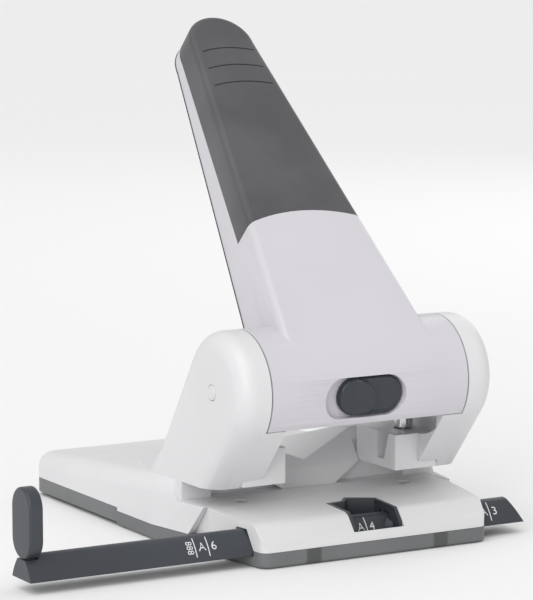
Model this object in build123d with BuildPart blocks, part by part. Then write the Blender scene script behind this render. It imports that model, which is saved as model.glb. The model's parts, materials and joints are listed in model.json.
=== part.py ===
from build123d import *
import os
from math import acos, atan2, cos, hypot, radians, sin

os.makedirs("parts", exist_ok=True)

# Heavy-duty two-hole paper punch, in millimetres.
# +X is to the user's right, +Y to the rear, +Z up. The origin is on the table,
# midway between the two punch pins.

# --- driving sizes -------------------------------------------------------
hole_spacing = 80.0        # centre to centre of the two punched holes
hole_d = 5.5               # cutting diameter of a punch pin
paper_z = 19.5             # top of the paper table
throat = 8.0               # height of the paper slot
stop_y = 12.0              # paper stop, behind the pins
base_half_w = 66.4         # half width of the base at the rear
base_front_y = -43.7       # front edge of the base
base_front_half_w = 54.2   # half width of the base at its front edge
base_rear_y = 146.0        # rear edge of the base
flare_end_y = 30.0         # where the tapering sides become parallel
base_corner_r = 9.0        # plan radius of the rear corners
tray_h = 6.5               # height of the chip tray's rim
tray_floor_t = 3.2         # floor of the chip tray
tray_step_y = 62.0         # behind this the tray's rim and underside are both higher
tray_rear_rise = 1.5       # how much higher its rim is there
tray_rear_lift = 1.6       # how much higher its underside is there
foot_h = 2.15              # height of the rear feet
foot_r = 4.9
foot_x = 48.0
foot_y = 132.0
deck_rear_z = 19.0         # deck height at the rear edge
deck_front_z = 26.0        # deck height behind the pillars
deck_front_y = 54.0        # where the pillars' rear edge meets the deck
wall = 2.2                 # wall of the moulded covers

guide_h = 15.6             # height of the punch guides above the throat
hub_r = 25.0               # outer radius of the lever's hub
hub_clear = 0.6            # the hub turns this far above the punch guides
hub_y = -14.1              # lever axis
hub_z = paper_z + throat + guide_h + hub_clear + hub_r
hub_half = 46.9            # half length of the lever's hub
pillar_gap = 0.7           # side gap between the hub and a pillar
pillar_t = 13.9            # thickness of a pillar
pillar_edge_r = 8.0        # rounding of a pillar's outer edge
hub_lip_deg = -36.0        # lower front edge of the hub's skin, from the horizontal
hub_rear_deg = -5.0        # lower rear edge of the hub's skin, from the horizontal
disc_low_r = hub_r - 5.0   # radius of the hub's end discs below the two edges

lever_deg = 45.4           # lean of the resting lever above the horizontal
lever_len = 183.0          # hub axis to the tip, along the lever
lever_half_w = 35.1        # half width of the lever at the hub axis
lever_taper = 0.1163       # loss of half width per millimetre of length
lever_depth_tip = 19.5     # depth of the lever near its tip
lever_depth_gain = 0.0715  # gain of depth per millimetre towards the hub
grip_start = 66.0          # lower end of the soft grip
grip_depth = 14.0          # how far the grip wraps down the sides
grip_t = 2.0               # thickness of the soft grip
grip_arc = 5.3             # rise of the arc at the grip's lower edge
lever_wall = 3.8           # grip and shell wall together

rise_y = 24.0              # where the rise behind the guides reaches its top
rise_top_z = 41.0
rise_end_y = 76.0          # where it meets the deck
valley_z = 30.3            # lowest point of the valley between the pillars
ledge_x = 38.0             # inner face of the pillars below the hub
guide_rear_y = 20.6        # rear of the room for the punch guides

axle_d = 8.0
run = 0.05                 # radial running clearance
gap = 0.3                  # clearance between moving covers
tube_d = 13.0              # drive tube that carries the cams
cam_w = 8.0
cam_arm = 14.1             # base radius of the involute cams
cam_disc_r = 15.0
press_deg = 45.0           # full stroke of the lever
head_z = hub_z - 12.7      # top of a punch's head at rest
head_d = 8.4
head_h = 3.0
shank_d = 8.0
tip_z = 28.3               # lower end of a raised punch
guide_half_x = 26.7        # inner face of the punch guides
guide_front_y = -14.6
guide_depth = 31.0
bush_d = 9.0
bush_h = 4.6
bush_lift = 0.6             # the bush stands this far above the throat's roof
bore_clear = 0.1           # radial room round a punch's head in its guide
die_d = 10.0
die_h = 7.5
skin_t = 1.2               # table left over each die
table_t = 2.0              # table left over the die plate
plate_l = 103.0            # die plate
plate_w = 20.0
plate_y = -0.5             # its centre line
die_screw_spots = [(x, y) for x in (-22, 22) for y in (-6, 5)]
table_half_w = 58.6        # half width of the paper table at the pillars
table_gap = 0.2            # its gap to the body cover

steel_t = 2.5              # chassis plate
rail_y = -28.6             # centre line of the sliding paper guide
rail_half_w = 8.45
rail_bottom_z = 4.8
rail_shoulder_z = 12.9
rail_top_z = 14.6
rail_left_x = -154.5
rail_right_x = 78.0
stop_plate_t = 6.0         # end stop, thickness
stop_plate_w = 16.8
stop_plate_h = 28.6
rail_slack = 0.3           # clearance round the rail in its tunnel

window_left_x = -10.4
window_right_x = 13.9
window_rear_y = -19.4
knob_w = 30.6              # length of the lock slider
knob_h = 16.2              # height of the lock slider
recess_w = 38.8            # length of its recess
recess_h = 17.6
cover_screw_s = (52.0, 150.0)      # back cover screws, distance along the lever
groove_s = (144.0, 153.8, 163.6)   # finger grooves in the soft grip
coil_turns = 6             # return spring, on each side
coil_start = 20.0
coil_pitch = 1.9
beam_y = 24.0              # front of the chassis's cross beam
beam_h = 12.0
eye_r = 9.0                # eye of a chassis arm, round the axle
core_x = 16.0              # half width of the lever's steel core
lock_x = 0.8               # centre of the slider when unlocked
recess_x = -2.8

pin_x = hole_spacing / 2
roof_z = paper_z + throat
pillar_in = hub_half + pillar_gap
pillar_out = pillar_in + pillar_t
ca, sa = cos(radians(lever_deg)), sin(radians(lever_deg))
lever_plane = Plane(origin=(0, hub_y, hub_z), x_dir=(1, 0, 0), z_dir=(0, -sa, ca))
lever_side = Plane(origin=(0, hub_y, hub_z), x_dir=(0, ca, sa), z_dir=(1, 0, 0))


def tangent_point(y, z, radius, side):
    """Point of the hub circle whose tangent passes through (y, z); side is -1 in front, +1 behind."""
    dy, dz = y - hub_y, z - hub_z
    turn = acos(radius / hypot(dy, dz)) * side
    a = atan2(dz, dy) + turn
    return hub_y + radius * cos(a), hub_z + radius * sin(a)


def taper_x(y, inset=0.0):
    """Half width of the base at y, less an inset."""
    share = min(1.0, (y - base_front_y) / (flare_end_y - base_front_y))
    return base_front_half_w + (base_half_w - base_front_half_w) * share - inset


def base_plan(inset, front_y, rear_y):
    """Plan outline of the base between two Y values, inset from its sides."""
    half = [(taper_x(front_y, inset), front_y), (taper_x(flare_end_y, inset), flare_end_y),
            (base_half_w - inset, rear_y)]
    with BuildSketch() as plan:
        with BuildLine():
            Polyline(*half, *[(-x, y) for x, y in reversed(half)], close=True)
        make_face()
    return plan.sketch


def deck_z(y):
    """Height of the deck, falling in a straight line from the pillars to the rear."""
    return deck_front_z + (deck_rear_z - deck_front_z) * (y - deck_front_y) / (base_rear_y - deck_front_y)


def finish(builder, label):
    """Name a finished piece and write it as a STEP file of the same name."""
    builder.part.label = label
    export_step(builder.part, f"parts/{label}.step")


def side_profile(radius, front, back, foot):
    """Side outline of a pillar: the hub circle with two straight edges down to a foot."""
    fy, fz = tangent_point(front[0], front[1], radius, -1)
    by, bz = tangent_point(back[0][0], back[0][1], radius, 1)
    slope = (front[0] - fy) / (front[1] - fz)
    toe_y = front[0] + slope * (foot - front[1])
    with BuildSketch() as profile:
        with BuildLine():
            arc = ThreePointArc((fy, fz), (hub_y, hub_z + radius), (by, bz))
            Polyline(arc @ 1, *back, (toe_y, foot), arc @ 0)
        make_face()
    return profile.sketch


front_edge = (-12.3, 27.7)                       # a point on the leaning front edge of a pillar
rear_edge = [(35.0, 39.6), (deck_front_y, 20.5), (deck_front_y, tray_h + 0.1)]
floor_z = tray_h + 0.1


def hub_room():
    """Side outline of the room that the hub turns in, less the step in front, below the hub's lip."""
    lip_low = hub_z + hub_r * sin(radians(hub_lip_deg))
    with BuildSketch() as room:
        with Locations((hub_y, hub_z)):
            Circle(hub_r + pillar_gap)
        with Locations((hub_y - disc_low_r * cos(radians(hub_lip_deg)) + 1.5, lip_low - gap)):
            Rectangle(2 * hub_r, 2 * hub_r, align=(Align.MAX, Align.MAX), mode=Mode.SUBTRACT)
        with Locations((hub_y, hub_z)):
            Circle(disc_low_r + pillar_gap)
    return room.sketch


# --- a solid right-hand pillar with its outer edge rounded, used twice by the body cover ---
with BuildPart() as pillar_blank:
    with BuildSketch(Plane.YZ.offset(pillar_in)):
        add(side_profile(hub_r, front_edge, rear_edge, floor_z))
    extrude(amount=pillar_t)
    outer_face = faces().sort_by(Axis.X)[-1]
    fillet([e for e in outer_face.edges() if e.center().Z > floor_z + 1], pillar_edge_r)

# --- body cover: deck, side skirts, two pillars and the rise behind the punch guides ---
with BuildPart() as body_cover:
    with BuildSketch(Plane.XY.offset(floor_z)):
        add(base_plan(0.0, -6.0, base_rear_y))
        rear = vertices().group_by(Axis.Y)[-1]
        fillet(rear, base_corner_r)
    extrude(amount=deck_front_z + 12)
    with BuildSketch(Plane.YZ):
        with BuildLine():
            Polyline((5.2, floor_z), (-5.3, paper_z), (stop_y, paper_z), (stop_y + 7, deck_z(stop_y + 7)),
                     (base_rear_y, deck_rear_z), (base_rear_y, floor_z), close=True)
        make_face()
    extrude(amount=base_half_w + 1, both=True, mode=Mode.INTERSECT)
    top_edges = edges().filter_by(
        lambda e: abs(e.center().Z - deck_z(e.center().Y)) < 0.6 and e.center().Y > stop_y + 8)
    fillet(top_edges, 7.0)
    add(pillar_blank.part)
    add(mirror(pillar_blank.part, about=Plane.YZ, mode=Mode.PRIVATE))
    # the rise behind the guides, with a valley down its middle
    with BuildSketch(Plane.YZ):
        with BuildLine():
            Polyline((stop_y, floor_z), (stop_y, paper_z), (stop_y + 2.0, roof_z), (rise_y, rise_top_z),
                     (rise_y + 6.0, rise_top_z), (rise_end_y, deck_z(rise_end_y) - 0.5),
                     (rise_end_y, floor_z), close=True)
        make_face()
    extrude(amount=pillar_in + 0.5, both=True)
    with BuildSketch(Plane.XZ):
        with BuildLine():
            Polyline((0, valley_z), (guide_half_x, rise_top_z - 0.4), (guide_half_x, 2 * rise_top_z),
                     (-guide_half_x, 2 * rise_top_z), (-guide_half_x, rise_top_z - 0.4), close=True)
        make_face()
    extrude(amount=-base_rear_y, mode=Mode.SUBTRACT)
    for side in (-1, 1):
        # room for the punch guide
        with Locations((side * (guide_half_x + pillar_in) / 2, stop_y, roof_z - 0.5)):
            Box(pillar_in - guide_half_x + 2 * gap, 2 * (guide_rear_y - stop_y), rise_top_z,
                align=(Align.CENTER, Align.CENTER, Align.MIN), mode=Mode.SUBTRACT)
        # the pillar thickens inwards below the hub, in front of the guide
        with BuildSketch(Plane.YZ.offset(side * (ledge_x + pillar_in + 0.5) / 2)):
            add(side_profile(hub_r, front_edge, rear_edge, roof_z + 0.2))
            add(hub_room(), mode=Mode.SUBTRACT)
            with Locations((guide_front_y - gap, hub_z)):
                Rectangle(200, 200, align=(Align.MIN, Align.CENTER), mode=Mode.SUBTRACT)
        extrude(amount=(pillar_in + 0.5 - ledge_x) / 2, both=True)
        # below the guides the wedge narrows towards the paper table
        with BuildSketch(Plane.XZ.offset(-stop_y - 6.0)):
            with BuildLine():
                Polyline((side * 13.0, paper_z), (side * guide_half_x, roof_z + 0.6),
                         (side * (pillar_in - 0.01), roof_z + 0.6), (side * (pillar_in - 0.01), paper_z),
                         close=True)
            make_face()
        extrude(amount=7.0, mode=Mode.SUBTRACT)
    # paper throat through both pillars, and the room for the paper table
    with Locations((0, stop_y, paper_z)):
        Box(2 * base_half_w + 4, 80, throat, align=(Align.CENTER, Align.MAX, Align.MIN), mode=Mode.SUBTRACT)
    with Locations((0, stop_y, floor_z)):
        Box(2 * (table_half_w + table_gap), 60, paper_z - floor_z,
            align=(Align.CENTER, Align.MAX, Align.MIN), mode=Mode.SUBTRACT)
    # hollow under the deck
    with BuildSketch(Plane.YZ):
        with BuildLine():
            Polyline((20.5, floor_z), (20.5, deck_z(20.5) - 2 * wall),
                     (base_rear_y - wall, deck_rear_z - 2 * wall), (base_rear_y - wall, floor_z), close=True)
        make_face()
    extrude(amount=base_half_w - 5.0, both=True, mode=Mode.SUBTRACT)
    # room for the raised rim of the tray
    with Locations((0, tray_step_y - gap, floor_z - 0.01)):
        Box(2 * base_half_w + 2, base_rear_y, tray_rear_rise, align=(Align.CENTER, Align.MIN, Align.MIN),
            mode=Mode.SUBTRACT)
    # hollow rise, open below into the base
    with BuildSketch(Plane.YZ):
        with BuildLine():
            Polyline((23.5, floor_z), (23.5, valley_z - 4.0), (68.0, deck_z(68.0) - wall - 1),
                     (68.0, floor_z), close=True)
        make_face()
    extrude(amount=guide_half_x - wall, both=True, mode=Mode.SUBTRACT)
    # pockets for the chassis arms inside the pillars
    for side in (-1, 1):
        with BuildSketch(Plane.YZ.offset(side * (pillar_in + wall + 3.5))):
            add(side_profile(hub_r - 7, (6.0, 31.5), [(30.0, 36.0), (36.0, 31.5)], 31.5))
            with BuildLine():
                Polyline((20.6, floor_z), (20.6, 34.0), (34.0, 34.0), (45.0, 20.0), (45.0, floor_z),
                         close=True)
            make_face()
        extrude(amount=3.5, both=True, mode=Mode.SUBTRACT)
    # blind seats for the axle caps and clear holes for the axle
    with Locations((0, hub_y, hub_z)):
        Cylinder(axle_d / 2 + run, 2 * pillar_out - 4, rotation=(0, 90, 0), mode=Mode.SUBTRACT)
    for side in (-1, 1):
        with Locations((side * pillar_out, hub_y, hub_z)):
            Cylinder(3.4, 4.4, rotation=(0, 90, 0), mode=Mode.SUBTRACT)
finish(body_cover, "body_cover")

# --- paper table: the moulded plate that the paper lies on ---
table_plan = [(54.0, base_front_y), (table_half_w, -5.8), (table_half_w, stop_y - gap)]
table_top = [(base_front_y, floor_z), (base_front_y + 1.4, 10.5), (-36.3, 17.7), (-5.8, paper_z - 0.2),
             (stop_y - gap, paper_z)]
window_plan = [(window_left_x, base_front_y + 1.5), (window_left_x, window_rear_y), (-2.4, -18.5),
               (1.6, -13.8), (window_right_x, window_rear_y - 0.2), (window_right_x, base_front_y + 1.5)]
rail_clear_w = rail_half_w + rail_slack
rail_clear_h = rail_top_z + rail_slack


def rail_tunnel():
    """Cross-section of the tunnel that the sliding guide runs in."""
    foot, flat = floor_z - 1, 3.4
    with BuildSketch() as tunnel:
        with BuildLine():
            Polyline((rail_y - rail_clear_w, foot), (rail_y - flat, rail_clear_h),
                     (rail_y + flat, rail_clear_h), (rail_y + rail_clear_w, foot), close=True)
        make_face()
    return tunnel.sketch


with BuildPart() as paper_table:
    with BuildSketch(Plane.XY.offset(floor_z)):
        with BuildLine():
            Polyline(*table_plan, *[(-x, y) for x, y in reversed(table_plan)], close=True)
        make_face()
        fillet(vertices().group_by(Axis.Y)[0], 4.0)
    extrude(amount=20)
    with BuildSketch(Plane.YZ):
        with BuildLine():
            Polyline(*table_top, (stop_y - gap, floor_z), close=True)
        make_face()
        fillet(vertices().sort_by(Axis.X)[2:3], 5.0)
    extrude(amount=table_half_w + 1, both=True, mode=Mode.INTERSECT)
    with BuildSketch(Plane.YZ):                      # tunnel for the sliding guide
        add(rail_tunnel())
    extrude(amount=table_half_w + 1, both=True, mode=Mode.SUBTRACT)
    with BuildSketch(Plane.XY.offset(floor_z - 1)):  # window over the guide's scale
        with BuildLine():
            Polyline(*window_plan, close=True)
        make_face()
    extrude(amount=20, mode=Mode.SUBTRACT)
    with Locations((0, plate_y, floor_z)):           # room for the die plate and the chips
        Box(plate_l + 1, plate_w + 1, paper_z - floor_z - table_t,
            align=(Align.CENTER, Align.CENTER, Align.MIN), mode=Mode.SUBTRACT)
    with Locations((-pin_x, 0, paper_z - skin_t), (pin_x, 0, paper_z - skin_t)):
        Cylinder(die_d / 2 + 0.1, 12, align=(Align.CENTER, Align.CENTER, Align.MAX), mode=Mode.SUBTRACT)
        Cylinder(hole_d / 2 + 0.6, 12, mode=Mode.SUBTRACT)
finish(paper_table, "paper_table")

# --- window bezel: a dark frame lining the window ---
bezel_t = 1.6
bezel_inset = 0.1
lip_z = 10.3               # top of the frame's front lip
lip_y = base_front_y + 3.1 # inner face of the lip
pointer_x = 7.3            # small pointer on the lip
with BuildPart() as window_bezel:
    with BuildSketch(Plane.XY.offset(floor_z + 0.4)):
        with BuildLine():
            Polyline(*window_plan, close=True)
        make_face()
        offset(amount=-bezel_inset, kind=Kind.INTERSECTION)
    extrude(amount=20)
    with BuildSketch(Plane.YZ):
        with BuildLine():
            Polyline((base_front_y + 1.6, floor_z + 0.4), (base_front_y + 1.6, lip_z), (lip_y, lip_z),
                     (lip_y, lip_z + 2.2), (-36.3, 17.8), (-5.8, paper_z - 0.1), (-5.8, floor_z + 0.4),
                     close=True)
        make_face()
    extrude(amount=30, both=True, mode=Mode.INTERSECT)
    with BuildSketch(Plane.XY.offset(floor_z - 1)):
        with BuildLine():
            Polyline((window_left_x + bezel_t, lip_y), (window_left_x + bezel_t, window_rear_y - 1.4),
                     (-1.6, -20.0), (1.8, -16.2), (window_right_x - bezel_t, window_rear_y - 1.8),
                     (window_right_x - bezel_t, lip_y), (pointer_x + 2.0, lip_y),
                     (pointer_x, lip_y + 1.5), (pointer_x - 2.0, lip_y), close=True)
        make_face()
    extrude(amount=20, mode=Mode.SUBTRACT)
    with BuildSketch(Plane.YZ):                      # the sliding guide passes below
        add(rail_tunnel())
    extrude(amount=30, both=True, mode=Mode.SUBTRACT)
finish(window_bezel, "window_bezel")

# --- sliding paper guide and its end stop ---
end_stop_z = rail_shoulder_z
with BuildPart() as guide_rail:
    with BuildSketch(Plane.YZ.offset(rail_left_x)):
        with BuildLine():
            left_side = ThreePointArc((rail_y - rail_half_w, rail_bottom_z), (rail_y - 6.1, 9.6),
                                      (rail_y - 2.6, rail_top_z - 0.8))
            ridge = ThreePointArc(left_side @ 1, (rail_y, rail_top_z), (rail_y + 2.6, rail_top_z - 0.8))
            ThreePointArc(ridge @ 1, (rail_y + 6.1, 9.6), (rail_y + rail_half_w, rail_bottom_z))
            Line((rail_y + rail_half_w, rail_bottom_z), (rail_y - rail_half_w, rail_bottom_z))
        make_face()
    extrude(amount=rail_right_x - rail_left_x)
    with Locations((rail_left_x, rail_y, end_stop_z)):       # notch that seats the end stop
        Box(stop_plate_t, 2 * rail_half_w, 4, align=(Align.MIN, Align.CENTER, Align.MIN), mode=Mode.SUBTRACT)
    with BuildSketch(Plane.XZ.offset(-rail_y)):              # slanted right-hand end
        with BuildLine():
            Polyline((rail_right_x, rail_bottom_z - 1), (rail_right_x + 1, rail_bottom_z - 1),
                     (rail_right_x + 1, rail_top_z + 1), (rail_right_x - 6, rail_top_z + 1), close=True)
        make_face()
    extrude(amount=20, both=True, mode=Mode.SUBTRACT)
finish(guide_rail, "guide_rail")

with BuildPart() as end_stop:
    with BuildSketch(Plane.YZ.offset(rail_left_x)):
        with Locations((rail_y, end_stop_z + stop_plate_h / 2)):
            SlotOverall(stop_plate_h, stop_plate_w - 0.02, rotation=90)
    extrude(amount=stop_plate_t - 0.02)
    fillet(faces().filter_by(Axis.X).edges(), 1.0)
    with Locations((rail_left_x + stop_plate_t / 2, rail_y, end_stop_z)):
        Box(stop_plate_t - 2.4, 5.0, 2.0, align=(Align.CENTER, Align.CENTER, Align.MIN))
finish(end_stop, "end_stop")

# --- chip tray: the dark base pan, hinged at its rear edge ---
with BuildPart() as chip_tray:
    with BuildSketch():
        add(base_plan(0.0, base_front_y, base_rear_y))
        fillet(vertices().group_by(Axis.Y)[-1], base_corner_r)
        fillet(vertices().group_by(Axis.Y)[0], 5.0)
    extrude(amount=tray_h)
    chamfer(faces().sort_by(Axis.Z)[0].edges(), 1.0)
    with BuildSketch(Plane.XY.offset(tray_h)):               # the rim steps up at the rear
        with Locations((0, (tray_step_y + base_rear_y) / 2)):
            Rectangle(2 * base_half_w, base_rear_y - tray_step_y)
        fillet(vertices().group_by(Axis.Y)[-1], base_corner_r)
    extrude(amount=tray_rear_rise)
    with BuildSketch(Plane.XY.offset(tray_floor_t)):         # the pan that holds the chips
        add(base_plan(3.0, -15.0, base_rear_y - 4.0))
    extrude(amount=2 * tray_h, mode=Mode.SUBTRACT)
    with Locations((0, tray_step_y, 0)):                     # the rear part stands clear of the table
        Box(2 * base_half_w + 2, base_rear_y, tray_rear_lift, align=(Align.CENTER, Align.MIN, Align.MIN),
            mode=Mode.SUBTRACT)
    with Locations((0, rail_y, rail_bottom_z - rail_slack)):  # groove under the sliding guide
        Box(2 * base_half_w + 2, 2 * (rail_half_w + rail_slack), 4,
            align=(Align.CENTER, Align.CENTER, Align.MIN), mode=Mode.SUBTRACT)
    with Locations((-foot_x, foot_y, 0), (foot_x, foot_y, 0)):   # seats for the rear feet
        Cylinder(foot_r + 0.1, foot_h, align=(Align.CENTER, Align.CENTER, Align.MIN), mode=Mode.SUBTRACT)
finish(chip_tray, "chip_tray")

with BuildPart() as rear_feet:
    with Locations((-foot_x, foot_y, 0), (foot_x, foot_y, 0)):
        Cylinder(foot_r, foot_h, align=(Align.CENTER, Align.CENTER, Align.MIN))
        chamfer(faces().group_by(Axis.Z)[0].edges(), 0.4)
finish(rear_feet, "rear_feet")

# --- punch guides, bushes, dies and the die plate ---
guide_top_z = roof_z + guide_h
guide_out_x = pillar_in - 0.2
with BuildPart() as right_guide:
    with BuildSketch(Plane.XY.offset(roof_z + 0.5)):
        with Locations(((guide_half_x + guide_out_x) / 2, guide_front_y + guide_depth / 2)):
            Rectangle(guide_out_x - guide_half_x, guide_depth)
    extrude(amount=guide_h - 0.5)
    fillet(edges().filter_by(Axis.Z).group_by(Axis.Y)[0], 0.8)
    with Locations((pin_x, 0, roof_z)):
        Cylinder(bush_d / 2, bush_lift + bush_h, align=(Align.CENTER, Align.CENTER, Align.MIN),
                 mode=Mode.SUBTRACT)
        Cylinder(head_d / 2 + bore_clear, guide_h + 1, align=(Align.CENTER, Align.CENTER, Align.MIN),
                 mode=Mode.SUBTRACT)
    # slot in the inner face, with its front edge flared upwards
    with BuildSketch(Plane.YZ.offset(guide_half_x)):
        with BuildLine():
            Polyline((-0.2, roof_z + 4), (-5.4, roof_z + 4), (-9.7, guide_top_z + 1), (-0.2, guide_top_z + 1),
                     close=True)
        make_face()
    extrude(amount=6.5, mode=Mode.SUBTRACT)
right_guide_part = right_guide.part
finish(right_guide, "right_guide")
with BuildPart() as left_guide:
    add(mirror(right_guide_part, about=Plane.YZ, mode=Mode.PRIVATE))
finish(left_guide, "left_guide")

for side, name in ((-1, "left"), (1, "right")):
    x = side * pin_x
    with BuildPart() as bush:
        with Locations((x, 0, roof_z + bush_lift)):
            Cylinder(bush_d / 2, bush_h, align=(Align.CENTER, Align.CENTER, Align.MIN))
            Cylinder(hole_d / 2 + run, 40, mode=Mode.SUBTRACT)
    finish(bush, f"{name}_bush")
    with BuildPart() as die:
        with Locations((x, 0, paper_z - skin_t - 0.1)):
            Cylinder(die_d / 2, die_h, align=(Align.CENTER, Align.CENTER, Align.MAX))
            Cylinder(hole_d / 2 + run, 40, mode=Mode.SUBTRACT)
        chamfer(faces().sort_by(Axis.Z)[-1].outer_wire().edges(), 0.3)
    finish(die, f"{name}_die")
    with BuildPart() as punch:
        with Locations((x, 0, tip_z)):
            Cylinder(hole_d / 2, head_z - tip_z, align=(Align.CENTER, Align.CENTER, Align.MIN))
        with Locations((x, 0, guide_top_z + 0.9)):
            Cylinder(shank_d / 2, head_z - guide_top_z - 0.9, align=(Align.CENTER, Align.CENTER, Align.MIN))
        with Locations((x, 0, head_z)):
            Cylinder(head_d / 2, head_h, align=(Align.CENTER, Align.CENTER, Align.MAX))
        # the cutting end is hollowed into two points by a cross V
        with BuildSketch(Plane.YZ.offset(x)):
            with BuildLine():
                Polyline((-1.6, tip_z - 0.1), (0, tip_z + 1.4), (1.6, tip_z - 0.1), close=True)
            make_face()
        extrude(amount=hole_d, both=True, mode=Mode.SUBTRACT)
    finish(punch, f"{name}_punch")

with BuildPart() as die_plate:
    plate_z = paper_z - table_t
    with Locations((0, plate_y, plate_z)):
        Box(plate_l, plate_w, steel_t, align=(Align.CENTER, Align.CENTER, Align.MAX))
    with Locations((-pin_x, 0, plate_z), (pin_x, 0, plate_z)):
        Cylinder(die_d / 2, 12, mode=Mode.SUBTRACT)
    with Locations(*[(x, y, plate_z) for x, y in die_screw_spots]):
        Cylinder(1.6, 12, mode=Mode.SUBTRACT)
finish(die_plate, "die_plate")

# --- chassis: a folded steel frame that carries the axle, the dies and the guides ---
arm_x = pillar_in + wall + 2.0
with BuildPart() as chassis:
    with Locations((0, beam_y, tray_h + 0.6)):                 # cross beam behind the paper stop
        Box(2 * (arm_x + steel_t), steel_t, beam_h, align=(Align.CENTER, Align.MIN, Align.MIN))
    for side in (-1, 1):
        with BuildSketch(Plane.YZ.offset(side * (arm_x + steel_t / 2))):
            with BuildLine():
                Polyline((22.0, tray_h + 0.6), (22.0, 32.6), (8.5, 34.5), (-13.0, 48.5),
                         (hub_y - eye_r, hub_z), (hub_y + eye_r, hub_z), (22.0, 38.0), (30.0, 28.0),
                         (30.0, tray_h + 0.6), close=True)
            make_face()
            with Locations((hub_y, hub_z)):
                Circle(eye_r)
        extrude(amount=steel_t / 2, both=True)
    with Locations((0, hub_y, hub_z)):
        Cylinder(axle_d / 2, 200, rotation=(0, 90, 0), mode=Mode.SUBTRACT)
finish(chassis, "chassis")

with BuildPart() as axle:
    with Locations((0, hub_y, hub_z)):
        Cylinder(axle_d / 2, 2 * (pillar_out - 2.6), rotation=(0, 90, 0))
finish(axle, "axle")

with BuildPart() as axle_caps:
    for side in (-1, 1):
        with Locations((side * (pillar_out - 0.9), hub_y, hub_z)):
            Cylinder(3.15, 2.4, rotation=(0, 90, 0))
    chamfer(edges().filter_by(GeomType.CIRCLE).filter_by(lambda e: abs(e.center().X) > pillar_out), 0.3)
finish(axle_caps, "axle_caps")

# --- lever: handle blank, soft grip, shell, back cover ---
def lever_half(s, inset=0.0):
    """Half width of the lever at a distance s along it, less an inset."""
    return lever_half_w - lever_taper * s - inset


def lever_rear(s):
    """Height of the lever's rear face above the hub axis at a distance s along it."""
    return hub_r - lever_depth_tip - lever_depth_gain * (lever_len - 7.0 - s)


def handle_plan(inset, start):
    """Plan outline of the handle with a round tip, inset from its edge."""
    s_tip = lever_len - 15.9
    w0, w1 = lever_half(start, inset), lever_half(s_tip, inset)
    with BuildSketch() as plan:
        with BuildLine():
            side = Polyline((-w1, s_tip), (-w0, start), (w0, start), (w1, s_tip))
            ThreePointArc(side @ 1, (0, lever_len - inset), side @ 0)
        make_face()
    return plan.sketch


def side_band(start, top, lower_gap=0.0, end=lever_len + 2):
    """Side outline of the handle from its tapered rear face up to a given height."""
    with BuildSketch() as band:
        with BuildLine():
            Polyline((start, lever_rear(start) + lower_gap), (end, lever_rear(end) + lower_gap),
                     (end, top), (start, top), close=True)
        make_face()
    return band.sketch


with BuildPart() as handle_blank:
    with BuildSketch(lever_plane.offset(-12)):
        add(handle_plan(0.0, 0.0))
    extrude(amount=12 + hub_r)
    with BuildSketch(lever_side):
        add(side_band(0.0, hub_r + 1))
    extrude(amount=60, both=True, mode=Mode.INTERSECT)
    front = faces().filter_by(lambda f: f.normal_at().dot(lever_plane.z_dir) > 0.99).sort_by(Axis.Z)[-1]
    fillet([e for e in front.edges() if e.center().Z > hub_z + hub_r], 3.0)

with BuildPart() as grip_zone:                   # where the grip covers the handle
    with BuildSketch(lever_plane.offset(hub_r - grip_depth)):
        with BuildLine():
            low = ThreePointArc((-40, grip_start - 6), (0, grip_start + grip_arc), (40, grip_start - 6))
            Polyline(low @ 1, (40, lever_len + 5), (-40, lever_len + 5), low @ 0)
        make_face()
    extrude(amount=grip_depth + 1)
    with BuildSketch(lever_side):
        with BuildLine():
            Polyline((0, hub_r - grip_depth), (lever_len + 6, hub_r - grip_depth), (lever_len + 6, hub_r + 2),
                     (0, hub_r + 2), close=True)
        make_face()
    extrude(amount=60, both=True, mode=Mode.INTERSECT)

with BuildPart() as handle_core:                 # the handle inside the grip's thickness
    with BuildSketch(lever_plane.offset(-12)):
        add(handle_plan(grip_t, 0.0))
    extrude(amount=12 + hub_r - grip_t)

with BuildPart() as lever_grip:
    add(handle_blank.part)
    add(grip_zone.part, mode=Mode.INTERSECT)
    add(handle_core.part, mode=Mode.SUBTRACT)
    # three curved finger grooves near the tip
    for s in groove_s:
        w = lever_half(s) * 0.78
        with BuildSketch(lever_plane.offset(hub_r - 0.5)):
            with BuildLine():
                ThreePointArc((-w, s - 1.8), (0, s), (w, s - 1.8))
                offset(amount=0.35)
            make_face()
        extrude(amount=1.0, mode=Mode.SUBTRACT)
finish(lever_grip, "lever_grip")

# --- pocket and recess of the lock slider, in the hub's front ---
lock_deg = -7.8                                   # middle of the recess, from the horizontal
lock_dir = (0, -cos(radians(lock_deg)), sin(radians(lock_deg)))
lock_plane = Plane(origin=(0, hub_y, hub_z), x_dir=(1, 0, 0), z_dir=lock_dir)
recess_floor = hub_r - 5.0                        # distance of the recess's floor from the axis
pocket_wall = 1.2
with BuildPart() as lock_pocket:
    with BuildSketch(lock_plane.offset(recess_floor - 1.6)):
        with Locations((recess_x, 0)):
            SlotOverall(recess_w + 2 * pocket_wall, recess_h + 2 * pocket_wall)
    extrude(amount=4.5)
with BuildPart() as lock_recess:
    with BuildSketch(lock_plane.offset(recess_floor)):
        with Locations((recess_x, 0)):
            SlotOverall(recess_w, recess_h)
    extrude(amount=8.0)
    with BuildSketch(lock_plane.offset(recess_floor - 3)):
        with Locations((recess_x, 0)):
            SlotOverall(20.0, 4.0)
    extrude(amount=4.0)

lip_in = hub_half - 2.4                           # inner face of the hub's end discs


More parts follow.
